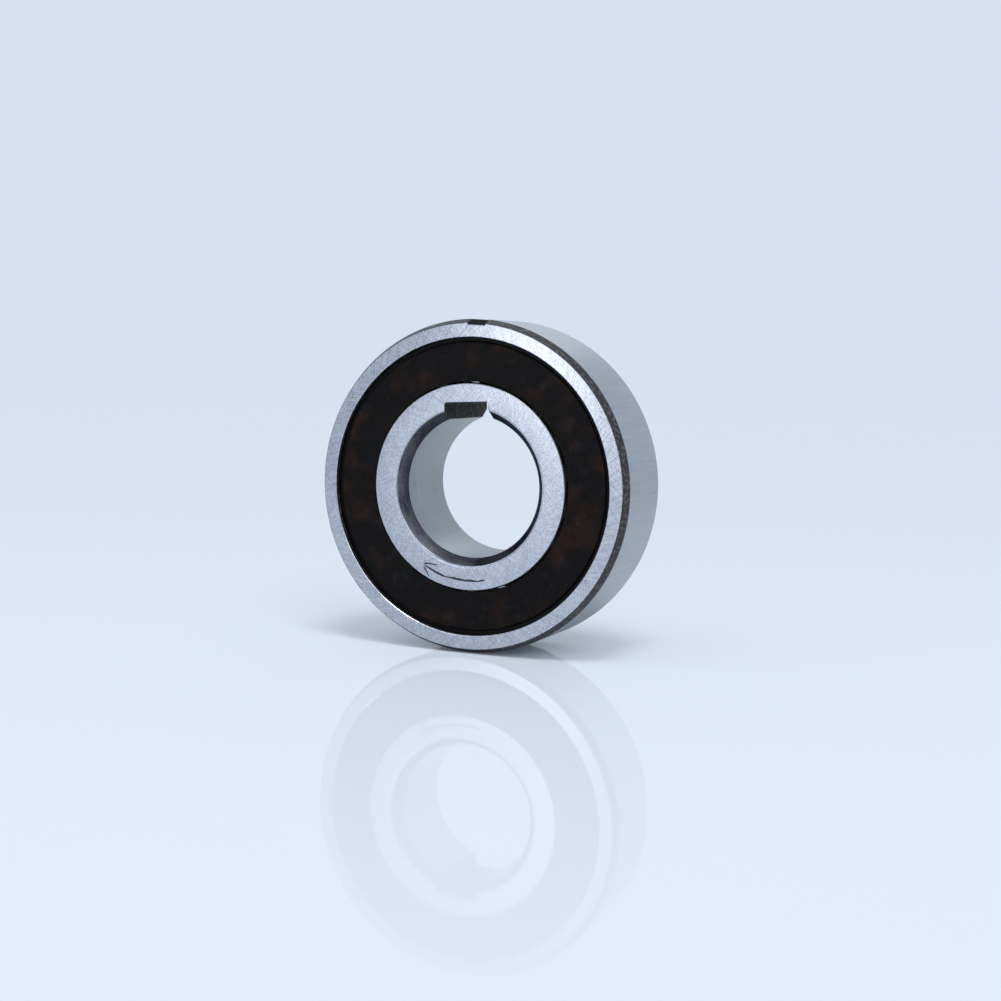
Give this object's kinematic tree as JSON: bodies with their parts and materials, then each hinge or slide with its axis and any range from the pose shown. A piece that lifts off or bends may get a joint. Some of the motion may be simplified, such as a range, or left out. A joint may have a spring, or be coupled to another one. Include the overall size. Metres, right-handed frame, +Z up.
{
  "type": "sprag clutch",
  "caption": "One-way sprag clutch in ball-bearing form: keyed inner and outer steel rings, black shields, sprags and balls between the rings, direction arrow on the inner ring.",
  "frame": {"origin": "on the axis, at half the width", "axes": "+Y along the axis, from the front face, which carries the arrow, to the back face; +Z up, through the top that the keyway and the notch are near"},
  "size_m": [0.035, 0.011, 0.035],
  "materials": {
    "ground_steel": "hardened bearing steel, ground, with turned chamfers left darker",
    "black_shield": "pressed sheet with a black oxide finish, semi-gloss",
    "moulded_nylon": "moulded, natural colour",
    "ball_steel": "lapped and polished",
    "sprag_steel": "drawn and barrel polished",
    "cage_steel": "satin",
    "spring_wire": "drawn wire"
  },
  "bodies": {
    "housing": {"outer_ring": "ground_steel", "front_shield": "black_shield", "back_shield": "black_shield"},
    "hub": {"inner_ring": "ground_steel"},
    "ball_row": {"ball_cage": "moulded_nylon"},
    "sprag_row": {"sprag_cage": "cage_steel", "garter_spring": "spring_wire"},
    "ball_01_body": {"ball_01": "ball_steel"},
    "ball_02_body": {"ball_02": "ball_steel"},
    "ball_03_body": {"ball_03": "ball_steel"},
    "ball_04_body": {"ball_04": "ball_steel"},
    "ball_05_body": {"ball_05": "ball_steel"},
    "ball_06_body": {"ball_06": "ball_steel"},
    "ball_07_body": {"ball_07": "ball_steel"},
    "ball_08_body": {"ball_08": "ball_steel"},
    "ball_09_body": {"ball_09": "ball_steel"},
    "sprag_01_body": {"sprag_01": "sprag_steel"},
    "sprag_02_body": {"sprag_02": "sprag_steel"},
    "sprag_03_body": {"sprag_03": "sprag_steel"},
    "sprag_04_body": {"sprag_04": "sprag_steel"},
    "sprag_05_body": {"sprag_05": "sprag_steel"},
    "sprag_06_body": {"sprag_06": "sprag_steel"},
    "sprag_07_body": {"sprag_07": "sprag_steel"},
    "sprag_08_body": {"sprag_08": "sprag_steel"},
    "sprag_09_body": {"sprag_09": "sprag_steel"},
    "sprag_10_body": {"sprag_10": "sprag_steel"},
    "sprag_11_body": {"sprag_11": "sprag_steel"},
    "sprag_12_body": {"sprag_12": "sprag_steel"},
    "sprag_13_body": {"sprag_13": "sprag_steel"},
    "sprag_14_body": {"sprag_14": "sprag_steel"},
    "sprag_15_body": {"sprag_15": "sprag_steel"},
    "sprag_16_body": {"sprag_16": "sprag_steel"},
    "sprag_17_body": {"sprag_17": "sprag_steel"},
    "sprag_18_body": {"sprag_18": "sprag_steel"}
  },
  "joints": [
    {"name": "hub_turn", "type": "hinge", "parent": "housing", "child": "hub", "pos_m": [0, 0, 0], "axis": [0, 1, 0], "continuous": true},
    {"name": "ball_row_turn", "type": "hinge", "parent": "housing", "child": "ball_row", "pos_m": [0, 0.00235, 0], "axis": [0, 1, 0], "continuous": true},
    {"name": "sprag_row_turn", "type": "hinge", "parent": "housing", "child": "sprag_row", "pos_m": [0, -0.00267, 0], "axis": [0, 1, 0], "continuous": true},
    {"name": "ball_01_roll", "type": "hinge", "parent": "ball_row", "child": "ball_01_body", "pos_m": [0, 0.00235, 0.0125], "axis": [0, 1, 0], "continuous": true},
    {"name": "ball_02_roll", "type": "hinge", "parent": "ball_row", "child": "ball_02_body", "pos_m": [0.00803, 0.00235, 0.00958], "axis": [0, 1, 0], "continuous": true},
    {"name": "ball_03_roll", "type": "hinge", "parent": "ball_row", "child": "ball_03_body", "pos_m": [0.01231, 0.00235, 0.00217], "axis": [0, 1, 0], "continuous": true},
    {"name": "ball_04_roll", "type": "hinge", "parent": "ball_row", "child": "ball_04_body", "pos_m": [0.01083, 0.00235, -0.00625], "axis": [0, 1, 0], "continuous": true},
    {"name": "ball_05_roll", "type": "hinge", "parent": "ball_row", "child": "ball_05_body", "pos_m": [0.00428, 0.00235, -0.01175], "axis": [0, 1, 0], "continuous": true},
    {"name": "ball_06_roll", "type": "hinge", "parent": "ball_row", "child": "ball_06_body", "pos_m": [-0.00428, 0.00235, -0.01175], "axis": [0, 1, 0], "continuous": true},
    {"name": "ball_07_roll", "type": "hinge", "parent": "ball_row", "child": "ball_07_body", "pos_m": [-0.01083, 0.00235, -0.00625], "axis": [0, 1, 0], "continuous": true},
    {"name": "ball_08_roll", "type": "hinge", "parent": "ball_row", "child": "ball_08_body", "pos_m": [-0.01231, 0.00235, 0.00217], "axis": [0, 1, 0], "continuous": true},
    {"name": "ball_09_roll", "type": "hinge", "parent": "ball_row", "child": "ball_09_body", "pos_m": [-0.00803, 0.00235, 0.00958], "axis": [0, 1, 0], "continuous": true},
    {"name": "sprag_01_tilt", "type": "hinge", "parent": "sprag_row", "child": "sprag_01_body", "pos_m": [0, -0.00267, 0.0125], "axis": [0, 1, 0], "range_deg": [-6, 6]},
    {"name": "sprag_02_tilt", "type": "hinge", "parent": "sprag_row", "child": "sprag_02_body", "pos_m": [0.00428, -0.00267, 0.01175], "axis": [0, 1, 0], "range_deg": [-6, 6]},
    {"name": "sprag_03_tilt", "type": "hinge", "parent": "sprag_row", "child": "sprag_03_body", "pos_m": [0.00803, -0.00267, 0.00958], "axis": [0, 1, 0], "range_deg": [-6, 6]},
    {"name": "sprag_04_tilt", "type": "hinge", "parent": "sprag_row", "child": "sprag_04_body", "pos_m": [0.01083, -0.00267, 0.00625], "axis": [0, 1, 0], "range_deg": [-6, 6]},
    {"name": "sprag_05_tilt", "type": "hinge", "parent": "sprag_row", "child": "sprag_05_body", "pos_m": [0.01231, -0.00267, 0.00217], "axis": [0, 1, 0], "range_deg": [-6, 6]},
    {"name": "sprag_06_tilt", "type": "hinge", "parent": "sprag_row", "child": "sprag_06_body", "pos_m": [0.01231, -0.00267, -0.00217], "axis": [0, 1, 0], "range_deg": [-6, 6]},
    {"name": "sprag_07_tilt", "type": "hinge", "parent": "sprag_row", "child": "sprag_07_body", "pos_m": [0.01083, -0.00267, -0.00625], "axis": [0, 1, 0], "range_deg": [-6, 6]},
    {"name": "sprag_08_tilt", "type": "hinge", "parent": "sprag_row", "child": "sprag_08_body", "pos_m": [0.00803, -0.00267, -0.00958], "axis": [0, 1, 0], "range_deg": [-6, 6]},
    {"name": "sprag_09_tilt", "type": "hinge", "parent": "sprag_row", "child": "sprag_09_body", "pos_m": [0.00428, -0.00267, -0.01175], "axis": [0, 1, 0], "range_deg": [-6, 6]},
    {"name": "sprag_10_tilt", "type": "hinge", "parent": "sprag_row", "child": "sprag_10_body", "pos_m": [0, -0.00267, -0.0125], "axis": [0, 1, 0], "range_deg": [-6, 6]},
    {"name": "sprag_11_tilt", "type": "hinge", "parent": "sprag_row", "child": "sprag_11_body", "pos_m": [-0.00428, -0.00267, -0.01175], "axis": [0, 1, 0], "range_deg": [-6, 6]},
    {"name": "sprag_12_tilt", "type": "hinge", "parent": "sprag_row", "child": "sprag_12_body", "pos_m": [-0.00803, -0.00267, -0.00958], "axis": [0, 1, 0], "range_deg": [-6, 6]},
    {"name": "sprag_13_tilt", "type": "hinge", "parent": "sprag_row", "child": "sprag_13_body", "pos_m": [-0.01083, -0.00267, -0.00625], "axis": [0, 1, 0], "range_deg": [-6, 6]},
    {"name": "sprag_14_tilt", "type": "hinge", "parent": "sprag_row", "child": "sprag_14_body", "pos_m": [-0.01231, -0.00267, -0.00217], "axis": [0, 1, 0], "range_deg": [-6, 6]},
    {"name": "sprag_15_tilt", "type": "hinge", "parent": "sprag_row", "child": "sprag_15_body", "pos_m": [-0.01231, -0.00267, 0.00217], "axis": [0, 1, 0], "range_deg": [-6, 6]},
    {"name": "sprag_16_tilt", "type": "hinge", "parent": "sprag_row", "child": "sprag_16_body", "pos_m": [-0.01083, -0.00267, 0.00625], "axis": [0, 1, 0], "range_deg": [-6, 6]},
    {"name": "sprag_17_tilt", "type": "hinge", "parent": "sprag_row", "child": "sprag_17_body", "pos_m": [-0.00803, -0.00267, 0.00958], "axis": [0, 1, 0], "range_deg": [-6, 6]},
    {"name": "sprag_18_tilt", "type": "hinge", "parent": "sprag_row", "child": "sprag_18_body", "pos_m": [-0.00428, -0.00267, 0.01175], "axis": [0, 1, 0], "range_deg": [-6, 6]}
  ],
  "couplings": [
    {"joint": "ball_row_turn", "follows": "hub_turn", "ratio": 0.40476},
    {"joint": "ball_01_roll", "follows": "hub_turn", "ratio": -2.5297},
    {"joint": "ball_02_roll", "follows": "hub_turn", "ratio": -2.5297},
    {"joint": "ball_03_roll", "follows": "hub_turn", "ratio": -2.5297},
    {"joint": "ball_04_roll", "follows": "hub_turn", "ratio": -2.5297},
    {"joint": "ball_05_roll", "follows": "hub_turn", "ratio": -2.5297},
    {"joint": "ball_06_roll", "follows": "hub_turn", "ratio": -2.5297},
    {"joint": "ball_07_roll", "follows": "hub_turn", "ratio": -2.5297},
    {"joint": "ball_08_roll", "follows": "hub_turn", "ratio": -2.5297},
    {"joint": "ball_09_roll", "follows": "hub_turn", "ratio": -2.5297},
    {"joint": "sprag_02_tilt", "follows": "sprag_01_tilt", "ratio": 1},
    {"joint": "sprag_03_tilt", "follows": "sprag_01_tilt", "ratio": 1},
    {"joint": "sprag_04_tilt", "follows": "sprag_01_tilt", "ratio": 1},
    {"joint": "sprag_05_tilt", "follows": "sprag_01_tilt", "ratio": 1},
    {"joint": "sprag_06_tilt", "follows": "sprag_01_tilt", "ratio": 1},
    {"joint": "sprag_07_tilt", "follows": "sprag_01_tilt", "ratio": 1},
    {"joint": "sprag_08_tilt", "follows": "sprag_01_tilt", "ratio": 1},
    {"joint": "sprag_09_tilt", "follows": "sprag_01_tilt", "ratio": 1},
    {"joint": "sprag_10_tilt", "follows": "sprag_01_tilt", "ratio": 1},
    {"joint": "sprag_11_tilt", "follows": "sprag_01_tilt", "ratio": 1},
    {"joint": "sprag_12_tilt", "follows": "sprag_01_tilt", "ratio": 1},
    {"joint": "sprag_13_tilt", "follows": "sprag_01_tilt", "ratio": 1},
    {"joint": "sprag_14_tilt", "follows": "sprag_01_tilt", "ratio": 1},
    {"joint": "sprag_15_tilt", "follows": "sprag_01_tilt", "ratio": 1},
    {"joint": "sprag_16_tilt", "follows": "sprag_01_tilt", "ratio": 1},
    {"joint": "sprag_17_tilt", "follows": "sprag_01_tilt", "ratio": 1},
    {"joint": "sprag_18_tilt", "follows": "sprag_01_tilt", "ratio": 1}
  ]
}
